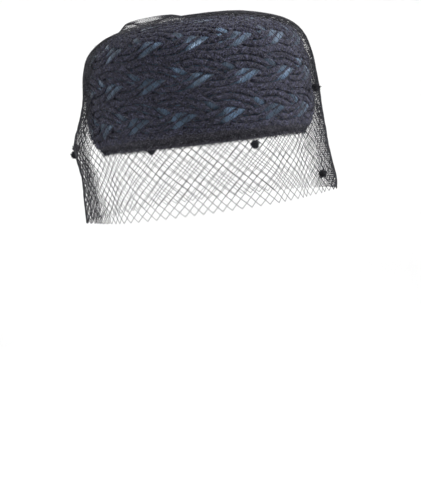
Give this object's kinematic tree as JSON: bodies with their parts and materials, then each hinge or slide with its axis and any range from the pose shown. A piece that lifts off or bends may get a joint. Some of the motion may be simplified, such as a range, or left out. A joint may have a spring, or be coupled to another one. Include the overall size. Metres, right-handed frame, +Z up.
{
  "type": "pillbox hat",
  "caption": "Round pillbox hat covered in flat plaits of satin ribbon and yarn, with a bound rim and a dotted net nose veil.",
  "frame": {"origin": "middle of the head opening, in the plane of the crown's rim, where the hat sits on a head", "axes": "+Z up out of the tip, -Y towards the wearer's brow, +X towards the wearer's left"},
  "size_m": [0.188, 0.2157, 0.1574],
  "materials": {
    "crown_cloth": "dark navy stiffened cloth",
    "binding_yarn": "fuzzy dark navy yarn",
    "ribbon_satin": "ribbed navy satin ribbon with dark yarn between",
    "veil_net": "fine black net",
    "dot_chenille": "black chenille tuft"
  },
  "bodies": {
    "root": {"crown": "crown_cloth", "rim_binding": "binding_yarn", "row_1_strand_1": "ribbon_satin", "row_1_strand_2": "ribbon_satin", "row_1_strand_3": "ribbon_satin", "row_2_strand_1": "ribbon_satin", "row_2_strand_2": "ribbon_satin", "row_2_strand_3": "ribbon_satin", "row_3_strand_1": "ribbon_satin", "row_3_strand_2": "ribbon_satin", "row_3_strand_3": "ribbon_satin", "row_4_strand_1": "ribbon_satin", "row_4_strand_2": "ribbon_satin", "row_4_strand_3": "ribbon_satin", "row_5_strand_1": "ribbon_satin", "row_5_strand_2": "ribbon_satin", "row_5_strand_3": "ribbon_satin", "veil": "veil_net", "dot_brow": "dot_chenille", "dot_left_brow": "dot_chenille", "dot_left_hem": "dot_chenille", "dot_right_temple": "dot_chenille", "dot_right_low": "dot_chenille", "dot_right_top": "dot_chenille", "dot_back": "dot_chenille", "dot_back_left": "dot_chenille", "dot_back_right": "dot_chenille", "dot_back_top": "dot_chenille"}
  },
  "joints": []
}
